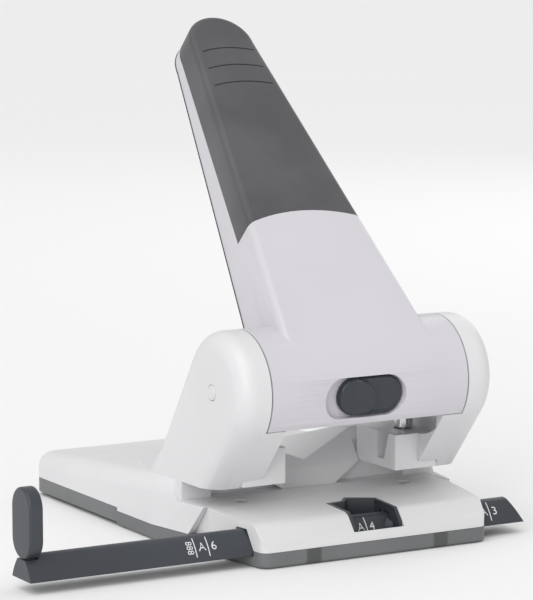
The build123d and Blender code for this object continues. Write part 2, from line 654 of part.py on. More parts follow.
def underside():
    """Side outline of the sector below the hub's front and rear edges."""
    front_a, rear_a = radians(180 - hub_lip_deg), radians(360 + hub_rear_deg)
    far = hub_r + 14
    with BuildSketch() as sector:
        with BuildLine():
            Polyline((hub_y, hub_z), (hub_y + far * cos(front_a), hub_z + far * sin(front_a)),
                     (hub_y - 8, hub_z - far), (hub_y + far, hub_z - far),
                     (hub_y + far * cos(rear_a), hub_z + far * sin(rear_a)), close=True)
        make_face()
    return sector.sketch


with BuildPart() as lever_shell:
    add(handle_blank.part)
    add(grip_zone.part, mode=Mode.SUBTRACT)
    # the core that backs the grip
    with BuildSketch(lever_plane.offset(-12)):
        add(handle_plan(grip_t + 0.02, 40.0))
    extrude(amount=12 + hub_r - grip_t - 0.02)
    with BuildSketch(lever_side):
        with BuildLine():
            Polyline((-40, -40), (40, lever_rear(40)), (lever_len + 2, lever_rear(lever_len + 2)),
                     (lever_len + 2, 60), (-40, 60), close=True)
        make_face()
    extrude(amount=60, both=True, mode=Mode.INTERSECT)
    # hollow handle, open at the back
    with BuildSketch(lever_plane.offset(-14)):
        add(handle_plan(lever_wall, 8.0))
    extrude(amount=14 + hub_r - lever_wall, mode=Mode.SUBTRACT)
    # the hub's skin and its end discs
    with BuildSketch(lever_side):
        Circle(hub_r)
    extrude(amount=hub_half, both=True)
    with BuildSketch(lever_side):
        Circle(hub_r - wall)
    extrude(amount=lip_in, both=True, mode=Mode.SUBTRACT)
    # slot in the skin for the steel core
    with BuildSketch(lever_side):
        with BuildLine():
            Polyline((10.0, 1.0), (40.0, 1.0), (40.0, 20.6), (10.0, 20.6), close=True)
        make_face()
    extrude(amount=core_x + gap, both=True, mode=Mode.SUBTRACT)
    # open underside of the hub, between the front lip and the rear edge
    with BuildSketch(Plane.YZ):
        add(underside())
    extrude(amount=lip_in, both=True, mode=Mode.SUBTRACT)
    # the end discs are smaller there
    with BuildSketch(Plane.YZ):
        add(underside())
        with Locations((hub_y, hub_z)):
            Circle(disc_low_r, mode=Mode.SUBTRACT)
    extrude(amount=hub_half + 1, both=True, mode=Mode.SUBTRACT)
    add(lock_pocket.part)
    add(lock_recess.part, mode=Mode.SUBTRACT)
    with Locations((0, hub_y, hub_z)):
        Cylinder(axle_d / 2 + run, 2 * hub_half + 2, rotation=(0, 90, 0), mode=Mode.SUBTRACT)
finish(lever_shell, "lever_shell")

# --- back cover: closes the open back of the handle ---
with BuildPart() as lever_back:
    with BuildSketch(lever_plane.offset(-14)):
        add(handle_plan(lever_wall + 0.15, 36.0))
    extrude(amount=14 + hub_r)
    with BuildSketch(lever_side):
        with BuildLine():
            Polyline((36.0, lever_rear(36.0) + 0.3), (lever_len + 2, lever_rear(lever_len + 2) + 0.3),
                     (lever_len + 2, lever_rear(lever_len + 2) + 2.1), (36.0, lever_rear(36.0) + 2.1),
                     close=True)
        make_face()
    extrude(amount=60, both=True, mode=Mode.INTERSECT)
    for s in cover_screw_s:
        with BuildSketch(lever_plane.offset(lever_rear(s) - 2.0)):
            with Locations((0, s)):
                Circle(1.6)
        extrude(amount=6.0, mode=Mode.SUBTRACT)
finish(lever_back, "lever_back")

# --- steel core, drive tube and cams ---
core_end = 112.0
with BuildPart() as lever_core:
    for side in (-1, 1):
        with BuildSketch(lever_side.offset(side * (core_x - steel_t / 2))):
            with BuildLine():
                Polyline((-11, 0), (-6, 15.0), (core_end, 18.0), (core_end, 8.0), (30.0, 4.0), (8, -9),
                         (-8, -9), close=True)
            make_face()
        extrude(amount=steel_t / 2, both=True)
    with BuildSketch(lever_side):
        with BuildLine():
            Polyline((10.0, 14.6), (core_end, 17.2), (core_end, 20.0), (10.0, 17.4), close=True)
        make_face()
    extrude(amount=core_x, both=True)
    with Locations((0, hub_y, hub_z)):
        Cylinder(tube_d / 2, 80, rotation=(0, 90, 0), mode=Mode.SUBTRACT)
finish(lever_core, "lever_core")

with BuildPart() as drive_tube:
    with Locations((0, hub_y, hub_z)):
        Cylinder(tube_d / 2, 2 * (pin_x + cam_w / 2), rotation=(0, 90, 0))
        Cylinder(axle_d / 2 + run, 100, rotation=(0, 90, 0), mode=Mode.SUBTRACT)
finish(drive_tube, "drive_tube")

cam_gap = 0.12
cam_from = -24.0                                 # the flank starts this many degrees before rest
cam_drop = hub_z - head_z - cam_gap              # contact height below the axis at rest


def involute(turn):
    """Point of the cam's involute, as it stands at rest, that touches the punch after a turn in degrees."""
    phi = radians(turn)
    drop = cam_drop + cam_arm * phi
    return (hub_y + cam_arm * cos(phi) + drop * sin(phi), hub_z + cam_arm * sin(phi) - drop * cos(phi))


for side, name in ((-1, "left"), (1, "right")):
    x = side * pin_x
    with BuildPart() as cam:
        with BuildSketch(Plane.YZ.offset(x)):
            with Locations((hub_y, hub_z)):
                Circle(cam_disc_r)
            with BuildLine():
                flank = Spline(*[involute(cam_from + (press_deg + 1 - cam_from) * i / 14) for i in range(15)])
                Polyline(flank @ 1, (hub_y + 20.0, hub_z - 1.0), (hub_y + 5.0, hub_z + 13.0), (hub_y, hub_z),
                         flank @ 0)
            make_face()
        extrude(amount=cam_w / 2, both=True)
        with Locations((x, hub_y, hub_z)):
            Cylinder(tube_d / 2, 20, rotation=(0, 90, 0), mode=Mode.SUBTRACT)
    finish(cam, f"{name}_cam")

# --- return spring: coils round the drive tube, built as rings ---
spring_wire = 1.6
with BuildPart() as return_spring:
    for side in (-1, 1):
        for turn in range(coil_turns):
            with Locations((side * (coil_start + coil_pitch * turn), hub_y, hub_z)):
                Torus(tube_d / 2 + 0.4 + spring_wire / 2, spring_wire / 2, rotation=(0, 90, 0))
finish(return_spring, "return_spring")

# --- lock slider and its steel bar ---
slider_low, slider_top, knob_top = recess_floor + 0.3, recess_floor + 2.6, hub_r + 1.4
knob_x = lock_x - (knob_w - knob_h) / 2
with BuildPart() as lock_slider:
    with BuildSketch(lock_plane.offset(slider_low)):
        with Locations((lock_x, 0)):
            SlotOverall(knob_w, knob_h)
    extrude(amount=slider_top - slider_low)
    with BuildSketch(lock_plane.offset(slider_top)):
        with Locations((knob_x, 0)):
            Circle(knob_h / 2)
    extrude(amount=knob_top - slider_top)
    # thumb scoop on the knob's left half, which leaves an upright ridge
    with BuildSketch(Plane(origin=(0, hub_y, hub_z), x_dir=(1, 0, 0),
                           z_dir=(0, -sin(radians(lock_deg)), -cos(radians(lock_deg))))):
        with Locations((knob_x - 5.5, -knob_top - 7.0)):
            Circle(10.0)
    extrude(amount=12, both=True, mode=Mode.SUBTRACT)
finish(lock_slider, "lock_slider")

with BuildPart() as lock_bar:
    with BuildSketch(lock_plane.offset(recess_floor - 4.4)):
        with Locations((lock_x, 0)):
            Rectangle(40.0, 3.0)
    extrude(amount=2.4)
    with BuildSketch(lock_plane.offset(recess_floor - 2.0)):
        with Locations((lock_x - 0.4, 0)):
            Rectangle(6.0, 3.0)
    extrude(amount=slider_low - recess_floor + 2.0)
finish(lock_bar, "lock_bar")

# --- screws ---
with BuildPart() as lever_screws:
    for s in cover_screw_s:
        with BuildSketch(lever_plane.offset(lever_rear(s) + 0.4)):
            with Locations((0, s)):
                Circle(1.5)
        extrude(amount=6.0)
        with BuildSketch(lever_plane.offset(lever_rear(s) - 1.3)):
            with Locations((0, s)):
                Circle(2.8)
        extrude(amount=1.2)
        with BuildSketch(lever_plane.offset(lever_rear(s) - 0.2)):
            with Locations((0, s)):
                Circle(1.5)
        extrude(amount=1.0)
finish(lever_screws, "lever_screws")

with BuildPart() as die_screws:
    with Locations(*[(x, y, plate_z - steel_t) for x, y in die_screw_spots]):
        Cylinder(2.7, 1.6, align=(Align.CENTER, Align.CENTER, Align.MAX))
        Cylinder(1.5, steel_t - 0.1, align=(Align.CENTER, Align.CENTER, Align.MIN))
finish(die_screws, "die_screws")
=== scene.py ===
"""Looks of the heavy-duty desk hole punch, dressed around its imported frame."""

import json
import logging
import math
from collections.abc import Callable, Sequence
from dataclasses import dataclass
from enum import Enum
from typing import ClassVar

import bmesh
import bpy
import numpy as np
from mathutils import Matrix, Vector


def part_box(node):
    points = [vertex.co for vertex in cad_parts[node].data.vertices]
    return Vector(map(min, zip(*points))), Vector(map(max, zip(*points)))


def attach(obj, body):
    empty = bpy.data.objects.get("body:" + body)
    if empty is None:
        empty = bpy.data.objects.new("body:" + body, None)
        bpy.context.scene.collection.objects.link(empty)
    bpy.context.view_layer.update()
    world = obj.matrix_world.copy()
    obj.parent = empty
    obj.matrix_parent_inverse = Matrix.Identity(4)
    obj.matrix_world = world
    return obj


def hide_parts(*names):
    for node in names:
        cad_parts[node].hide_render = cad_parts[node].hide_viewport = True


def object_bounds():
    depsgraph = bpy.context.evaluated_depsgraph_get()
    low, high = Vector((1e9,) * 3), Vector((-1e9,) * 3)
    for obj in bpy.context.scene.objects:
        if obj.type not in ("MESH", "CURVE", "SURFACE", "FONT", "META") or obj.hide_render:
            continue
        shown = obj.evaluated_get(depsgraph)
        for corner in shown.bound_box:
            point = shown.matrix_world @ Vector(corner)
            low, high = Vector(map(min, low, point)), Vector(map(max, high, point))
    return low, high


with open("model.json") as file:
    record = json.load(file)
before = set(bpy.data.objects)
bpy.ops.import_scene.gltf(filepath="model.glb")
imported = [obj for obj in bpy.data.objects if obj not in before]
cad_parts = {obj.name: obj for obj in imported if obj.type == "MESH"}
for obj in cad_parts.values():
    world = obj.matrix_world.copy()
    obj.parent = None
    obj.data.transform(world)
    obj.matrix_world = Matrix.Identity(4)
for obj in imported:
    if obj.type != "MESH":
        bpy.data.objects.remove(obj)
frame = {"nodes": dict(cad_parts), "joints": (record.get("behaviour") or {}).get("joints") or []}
cad_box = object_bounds()

log = logging.getLogger("hole_punch")
MM = 0.001
SHARP_EDGE = math.radians(28.0)
SHARP_SURFACE = math.radians(40.0)
FLAT_FACET = math.radians(0.4)
X_AXIS = np.array([1.0, 0.0, 0.0])
Colour = tuple[float, float, float]


class Slot(Enum):
    """Material slots of the record; the pieces below are given their finishes directly, not through these."""

    BODY = "body_plastic"
    TABLE = "table_plastic"
    GRIP = "grip_rubber"
    TRAY = "tray_plastic"
    DARK = "dark_plastic"
    SPRING = "spring_steel"
    SCREW = "screw_steel"


# --- shader graphs --------------------------------------------------------------------------


class Wire:
    """A shader value that takes part in Python expressions and adds its Math nodes."""

    def __init__(self, graph: "Graph", socket: bpy.types.NodeSocket) -> None:
        """Keeps the graph and the socket that the value comes from."""
        self.graph = graph
        self.socket = socket

    def _math(self, operation: str, *values: "Wire | float") -> "Wire":
        """Adds one Math node and returns its result."""
        made = self.graph.node("ShaderNodeMath", {"operation": operation}, dict(enumerate(values)))
        return Wire(self.graph, made.outputs[0])

    def __add__(self, other: "Wire | float") -> "Wire":
        """self + other."""
        return self._math("ADD", self, other)

    def __sub__(self, other: "Wire | float") -> "Wire":
        """self - other."""
        return self._math("SUBTRACT", self, other)

    def __rsub__(self, other: "Wire | float") -> "Wire":
        """other - self."""
        return self._math("SUBTRACT", other, self)

    def __mul__(self, other: "Wire | float") -> "Wire":
        """self * other."""
        return self._math("MULTIPLY", self, other)

    __radd__ = __add__
    __rmul__ = __mul__

    def __abs__(self) -> "Wire":
        """Size of the value without its sign."""
        return self._math("ABSOLUTE", self)

    def rise(self, low: float, high: float) -> "Wire":
        """Smooth step from 0 at low to 1 at high.

        Args:
            low: Value at which the step starts.
            high: Value at which the step ends; below low, the step falls instead.

        Returns:
            The stepped value, always from 0 to 1.
        """
        settings = {"interpolation_type": "SMOOTHSTEP"}
        if low <= high:
            inputs = {"Value": self, "From Min": low, "From Max": high}
            return Wire(self.graph, self.graph.node("ShaderNodeMapRange", settings, inputs).outputs[0])
        return 1.0 - self.rise(high, low)


class Graph:
    """The node tree of one material, built around a Principled shader."""

    def __init__(self, name: str) -> None:
        """Starts an empty material with its shader and its output."""
        self.material = bpy.data.materials.new(name)
        self.material.use_nodes = True
        self.tree = self.material.node_tree
        self.tree.nodes.clear()
        self.shader = self.node("ShaderNodeBsdfPrincipled")
        output = self.node("ShaderNodeOutputMaterial")
        self.tree.links.new(self.shader.outputs[0], output.inputs[0])
        self.place = Wire(self, self.node("ShaderNodeTexCoord").outputs["Object"])

    def node(self, kind: str, settings: dict | None = None, inputs: dict | None = None) -> bpy.types.Node:
        """Adds a node.

        Args:
            kind: Blender's type name of the node.
            settings: Attributes to set before the sockets.
            inputs: Values or wires by socket name or number.

        Returns:
            The new node.
        """
        made = self.tree.nodes.new(kind)
        for key, value in (settings or {}).items():
            setattr(made, key, value)
        for key, value in (inputs or {}).items():
            self.plug(made.inputs[key], value)
        return made

    def plug(self, socket: bpy.types.NodeSocket, value: "Wire | float | Sequence[float]") -> None:
        """Links a wire to a socket, or sets the socket to a constant."""
        if isinstance(value, Wire):
            self.tree.links.new(value.socket, socket)
        elif isinstance(value, (int, float)):
            socket.default_value = value
        else:
            socket.default_value = (*value, 1.0) if len(socket.default_value) == 4 else tuple(value)

    def noise(self, scale: float, detail: float = 2.0, stretch: Sequence[float] | None = None) -> Wire:
        """Noise from 0 to 1 in the object's own space.

        Args:
            scale: Cells per metre.
            detail: Octaves.
            stretch: Scale factors along X, Y and Z, for brushed marks.

        Returns:
            The noise value.
        """
        where = self.place
        if stretch is not None:
            inputs = {"Vector": where, "Scale": stretch}
            where = Wire(self, self.node("ShaderNodeMapping", {}, inputs).outputs[0])
        inputs = {"Vector": where, "Scale": scale, "Detail": detail}
        return Wire(self, self.node("ShaderNodeTexNoise", {}, inputs).outputs["Fac"])

    def axes(self) -> tuple[Wire, Wire, Wire]:
        """The three coordinates of the shaded point, in metres."""
        split = self.node("ShaderNodeSeparateXYZ", {}, {0: self.place})
        return Wire(self, split.outputs[0]), Wire(self, split.outputs[1]), Wire(self, split.outputs[2])

    def mix(self, first: "Colour | Wire", second: "Colour | Wire", share: Wire) -> Wire:
        """Colour between first and second by share."""
        inputs = {0: share, 6: first, 7: second}
        return Wire(self, self.node("ShaderNodeMix", {"data_type": "RGBA"}, inputs).outputs[2])

    def bump(self, height: Wire, depth: float) -> Wire:
        """Normal disturbed by a height from 0 to 1 that stands for depth in metres."""
        inputs = {"Height": height, "Distance": depth, "Strength": 1.0}
        return Wire(self, self.node("ShaderNodeBump", {}, inputs).outputs[0])

    def surface(self, **values: "Wire | float | Sequence[float]") -> bpy.types.Material:
        """Sets sockets of the shader, with _ for a space, and returns the material."""
        for key, value in values.items():
            self.plug(self.shader.inputs[key.replace("_", " ")], value)
        return self.material


def shaded(colour: Colour, factor: float) -> Colour:
    """A colour made darker or lighter by a factor."""
    return tuple(channel * factor for channel in colour)


# --- finishes -------------------------------------------------------------------------------


@dataclass(frozen=True)
class MouldedPlastic:
    """Injection-moulded plastic with a spark-eroded texture and a slow unevenness of tone."""

    name: str
    colour: Colour
    roughness: float
    grain: float = 2600.0
    depth: float = 0.00002
    unevenness: float = 0.965

    def make(self) -> bpy.types.Material:
        """Builds the material.

        Returns:
            Plastic whose tone drifts over centimetres and whose gloss breaks up in its texture.
        """
        g = Graph(self.name)
        drift = g.noise(16.0, 3.0)
        grain = g.noise(self.grain, 2.0)
        orange_peel = g.noise(420.0, 1.0)
        tone = g.mix(self.colour, shaded(self.colour, self.unevenness), drift.rise(0.35, 0.68))
        tone = g.mix(tone, shaded(self.colour, self.unevenness * 0.97), grain.rise(0.62, 0.8) * 0.5)
        gloss = self.roughness + (drift - 0.5) * 0.08 + (grain - 0.5) * 0.12
        relief = grain * 0.75 + orange_peel * 0.25
        return g.surface(Base_Color=tone, Roughness=gloss, Normal=g.bump(relief, self.depth))


@dataclass(frozen=True)
class SoftTouch:
    """Charcoal soft-touch moulding of the hand grip, dull with a fine pebble."""

    name: str = "soft_touch_charcoal"
    colour: Colour = (0.070, 0.069, 0.075)
    handled: Colour = (0.092, 0.091, 0.097)

    def make(self) -> bpy.types.Material:
        """Builds the material.

        Returns:
            Dull rubber, a little paler where palms rub it.
        """
        g = Graph(self.name)
        rub = g.noise(22.0, 4.0).rise(0.40, 0.70)
        pebble = g.noise(2100.0, 2.0)
        dust = g.noise(5200.0, 1.0).rise(0.70, 0.80)
        tone = g.mix(g.mix(self.colour, self.handled, rub), (0.13, 0.13, 0.135), dust * 0.35)
        gloss = 0.56 - rub * 0.08 + (pebble - 0.5) * 0.14
        relief = g.bump(pebble, 0.00005)
        return g.surface(Base_Color=tone, Roughness=gloss, Normal=relief, Sheen_Weight=0.12)


@dataclass(frozen=True)
class SmokedTray:
    """Grey smoked plastic of the chip tray, with painted shade over the two recesses in its front wall."""

    name: str = "tray_smoke"
    colour: Colour = (0.165, 0.170, 0.172)
    recess_shade_x: tuple[float, float] = (-30.4 * MM, 30.9 * MM)
    recess_shade_half: float = 3.4 * MM

    def make(self) -> bpy.types.Material:
        """Builds the material.

        Returns:
            Grey plastic with a soft dark patch of painted shade at each recess, only near the front wall.
        """
        g = Graph(self.name)
        low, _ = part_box("chip_tray")
        x, y, _ = g.axes()
        near_front = y.rise(low.y + 4.0 * MM, low.y + 2.0 * MM)
        outer, inner = self.recess_shade_half * 1.25, self.recess_shade_half * 0.8
        left, right = (abs(x - centre).rise(outer, inner) for centre in self.recess_shade_x)
        grain = g.noise(2300.0, 2.0)
        drift = g.noise(30.0, 3.0)
        tone = g.mix(self.colour, shaded(self.colour, 0.86), drift.rise(0.35, 0.7))
        # painted shade: darker patches over the two recesses of the front wall, near its face only
        tone = g.mix(tone, shaded(self.colour, 0.36), (left + right) * near_front * 0.8)
        gloss = 0.42 + (grain - 0.5) * 0.16
        return g.surface(Base_Color=tone, Roughness=gloss, Normal=g.bump(grain, 0.00002))


@dataclass(frozen=True)
class Steel:
    """Steel with marks drawn out along one direction by grinding, rolling or drawing."""

    name: str
    colour: Colour
    roughness: float
    stretch: tuple[float, float, float]
    depth: float = 0.000006

    def make(self) -> bpy.types.Material:
        """Builds the material.

        Returns:
            Bright metal whose gloss and relief follow its machining marks.
        """
        g = Graph(self.name)
        marks = g.noise(900.0, 3.0, self.stretch)
        cloud = g.noise(60.0, 3.0)
        tone = g.mix(self.colour, shaded(self.colour, 0.82), cloud.rise(0.4, 0.7))
        gloss = self.roughness + (marks - 0.5) * 0.16 + (cloud - 0.5) * 0.08
        return g.surface(Base_Color=tone, Metallic=1.0, Roughness=gloss, Normal=g.bump(marks, self.depth))


@dataclass(frozen=True)
class PadPrint:
    """White pad-printed ink, a little thin in places."""

    name: str = "white_print"
    colour: Colour = (0.80, 0.81, 0.82)

    def make(self) -> bpy.types.Material:
        """Builds the material.

        Returns:
            Matt white ink with faint thin spots.
        """
        g = Graph(self.name)
        thin = g.noise(3800.0, 2.0).rise(0.66, 0.8)
        tone = g.mix(self.colour, shaded(self.colour, 0.6), thin * 0.6)
        return g.surface(Base_Color=tone, Roughness=0.5 + thin * 0.1, Normal=g.bump(thin, 0.00001))


@dataclass(frozen=True)
class PlainFloor:
    """Plain pale floor under the object."""

    name: str = "pale_floor"
    colour: Colour = (0.93, 0.93, 0.935)

    def make(self) -> bpy.types.Material:
        """Builds the material: a matt pale sweep with a barely visible unevenness."""
        g = Graph(self.name)
        tone = g.mix(self.colour, shaded(self.colour, 0.985), g.noise(2.0, 2.0))
        return g.surface(Base_Color=tone, Roughness=0.85)


# --- meshes ---------------------------------------------------------------------------------


def new_piece(name: str, mesh: bpy.types.Mesh) -> bpy.types.Object:
    """Links a mesh to the scene as an object at the origin."""
    piece = bpy.data.objects.new(name, mesh)
    bpy.context.scene.collection.objects.link(piece)
    return piece


def mesh_from(name: str, points: np.ndarray, faces: list) -> bpy.types.Mesh:
    """Makes a closed, smooth-shaded mesh with its doubles merged and its faces outwards.

    Args:
        name: Name of the mesh.
        points: Array of N points, in metres.
        faces: Lists of point numbers.

    Returns:
        The finished mesh.
    """
    mesh = bpy.data.meshes.new(name)
    mesh.from_pydata(points.reshape(-1, 3).tolist(), [], faces)
    work = bmesh.new()
    work.from_mesh(mesh)
    bmesh.ops.remove_doubles(work, verts=work.verts, dist=2e-6)
    bmesh.ops.recalc_face_normals(work, faces=work.faces)
    work.to_mesh(mesh)
    work.free()
    mesh.shade_smooth()
    mesh.set_sharp_from_angle(angle=SHARP_SURFACE)
    return mesh


def grid_faces(rows: int, columns: int, wrap: bool = False, start: int = 0) -> list:
    """Quads of a grid of rows by columns, closed across its columns where wrap is set."""
    r = np.arange(rows - 1)[:, None]
    c = np.arange(columns if wrap else columns - 1)[None, :]
    after = (c + 1) % columns
    corners = [r * columns + c, r * columns + after, (r + 1) * columns + after, (r + 1) * columns + c]
    return (np.stack(np.broadcast_arrays(*corners), axis=-1).reshape(-1, 4) + start).tolist()


def sweep(name: str, path: np.ndarray, profile: np.ndarray, up: np.ndarray) -> bpy.types.Mesh:
    """Carries a closed profile along an open path.

    A point is path + side * profile x + lift * profile y, where side is the unit cross product of
    the path's direction and up, and lift is the cross product of side and the direction.

    Args:
        name: Name of the mesh.
        path: Array of N points.
        profile: Array of M (x, y) points, closed on itself.
        up: Array of N directions, or one for all.

    Returns:
        The swept mesh, with flat ends.
    """
    along = np.gradient(path, axis=0)
    along /= np.linalg.norm(along, axis=1, keepdims=True)
    side = np.cross(along, np.broadcast_to(up, path.shape))
    side /= np.linalg.norm(side, axis=1, keepdims=True)
    lift = np.cross(side, along)
    points = path[:, None, :] + side[:, None, :] * profile[None, :, :1]
    points = points + lift[:, None, :] * profile[None, :, 1:]
    rows, columns = len(path), len(profile)
    faces = grid_faces(rows, columns, wrap=True)
    faces += [list(range(columns)), list(range((rows - 1) * columns, rows * columns))]
    return mesh_from(name, points, faces)


def circle(radius: float, count: int) -> np.ndarray:
    """Points of a circle: radius times the cosine and sine of evenly spaced angles."""
    turn = np.linspace(0.0, 2.0 * np.pi, count, endpoint=False)
    return radius * np.stack([np.cos(turn), np.sin(turn)], axis=-1)


@dataclass(frozen=True)
class Facing:
    """A flat frame of reference: an origin, two directions across it and one out of it."""

    origin: np.ndarray
    across: np.ndarray
    along: np.ndarray
    out: np.ndarray

    def at(self, x: np.ndarray, y: np.ndarray, height: np.ndarray) -> np.ndarray:
        """Points at x across, y along and height out of the plane."""
        return self.origin + np.multiply.outer(x, self.across) + np.multiply.outer(y, self.along) + \
            np.multiply.outer(height, self.out)


def button(name: str, facing: Facing, half: float, radius: float, base: float,
           top: Callable[[np.ndarray, np.ndarray], np.ndarray], steps: tuple[int, int]) -> bpy.types.Mesh:
    """A solid with a stadium outline whose top is a height over its plane.

    The outline's half breadth at x is the radius between the two centres, and beyond them the
    square root of radius squared less the distance past the centre squared. Lines of points cross
    it from edge to edge, closer together towards its ends.

    Args:
        name: Name of the mesh.
        facing: Plane that the outline lies in.
        half: Distance of each end circle's centre from the middle; 0 makes a disc.
        radius: Radius of the end circles.
        base: Height of the underside.
        top: Height of the top as a function of x and y.
        steps: Points along and across.

    Returns:
        The closed mesh.
    """
    x = (half + radius) * np.sin(np.linspace(-np.pi / 2, np.pi / 2, steps[0]))
    past = np.clip(np.abs(x) - half, 0.0, radius)
    breadth = np.sqrt(np.maximum(radius**2 - past**2, 0.0))
    v = np.sin(np.linspace(-np.pi / 2, np.pi / 2, steps[1]))
    gx, gy = np.broadcast_to(x[:, None], (len(x), len(v))), breadth[:, None] * v[None, :]
    upper = facing.at(gx, gy, top(gx, gy))
    lower = facing.at(gx, gy, np.full_like(gy, base))
    rows, columns = gx.shape
    count = rows * columns
    faces = grid_faces(rows, columns) + [f[::-1] for f in grid_faces(rows, columns, start=count)]
    for edge in (np.arange(rows) * columns, np.arange(rows) * columns + columns - 1):
        faces += np.stack([edge[:-1], edge[1:], edge[1:] + count, edge[:-1] + count], axis=-1).tolist()
    return mesh_from(name, np.concatenate([upper.reshape(-1, 3), lower.reshape(-1, 3)]), faces)


def softened(name: str, node: str, width: float, segments: int = 2) -> bpy.types.Object:
    """A copy of a CAD node with its flat faces merged and its sharp edges rounded, as a mould leaves them.

    Args:
        name: Name of the new piece.
        node: CAD node that the piece stands for.
        width: Width of the rounding.
        segments: Steps of the rounding.

    Returns:
        The new piece, which replaces the node.
    """
    work = bmesh.new()
    work.from_mesh(frame["nodes"][node].data)
    bmesh.ops.remove_doubles(work, verts=work.verts, dist=3e-6)
    bmesh.ops.dissolve_limit(work, angle_limit=FLAT_FACET, verts=work.verts, edges=work.edges)
    mesh = bpy.data.meshes.new(name)
    work.to_mesh(mesh)
    work.free()
    mesh.shade_smooth()
    mesh.set_sharp_from_angle(angle=SHARP_EDGE)
    piece = new_piece(name, mesh)
    rounding = piece.modifiers.new("rounding", "BEVEL")
    rounding.width = width
    rounding.segments = segments
    rounding.limit_method = "ANGLE"
    rounding.angle_limit = SHARP_EDGE
    rounding.harden_normals = True
    rounding.use_clamp_overlap = True
    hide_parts(node)
    return piece


def dress(piece: bpy.types.Object, material: bpy.types.Material, body: str) -> None:
    """Gives a new piece its material and the body it rides on."""
    piece.data.materials.clear()
    piece.data.materials.append(material)
    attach(piece, body)
    log.info("%s: %d faces, rides on %s", piece.name, len(piece.data.polygons), body)


def coat(nodes: Sequence[str], material: bpy.types.Material) -> None:
    """Gives CAD nodes that stay as they are a better material."""
    for node in nodes:
        slots = frame["nodes"][node].data.materials
        slots.clear()
        slots.append(material)
        log.info("%s: CAD node, now %s", node, material.name)


def joint_place(name: str) -> np.ndarray:
    """Place of a joint in the record, in metres."""
    return np.array(next(j["pos_m"] for j in frame["joints"] if j["name"] == name), float)


# --- sub-assemblies -------------------------------------------------------------------------


@dataclass
class Housing:
    """The fixed covers: body, paper table, punch guides and the frame round the scale window."""

    edge: float = 0.45 * MM
    fine_edge: float = 0.25 * MM
    body: str = "base"

    def build(self, shell: bpy.types.Material, table: bpy.types.Material, dark: bpy.types.Material) -> None:
        """Rounds and dresses the covers.

        Args:
            shell: Plastic of the body and the punch guides.
            table: Plastic of the paper table.
            dark: Plastic of the window frame.
        """
        dress(softened("housing_cover", "body_cover", self.edge), shell, self.body)
        dress(softened("paper_deck", "paper_table", self.edge), table, self.body)
        dress(softened("scale_frame", "window_bezel", self.fine_edge), dark, self.body)
        for side in ("left", "right"):
            guide = softened(f"{side}_punch_guide", f"{side}_guide", self.fine_edge)
            dress(guide, shell, self.body)


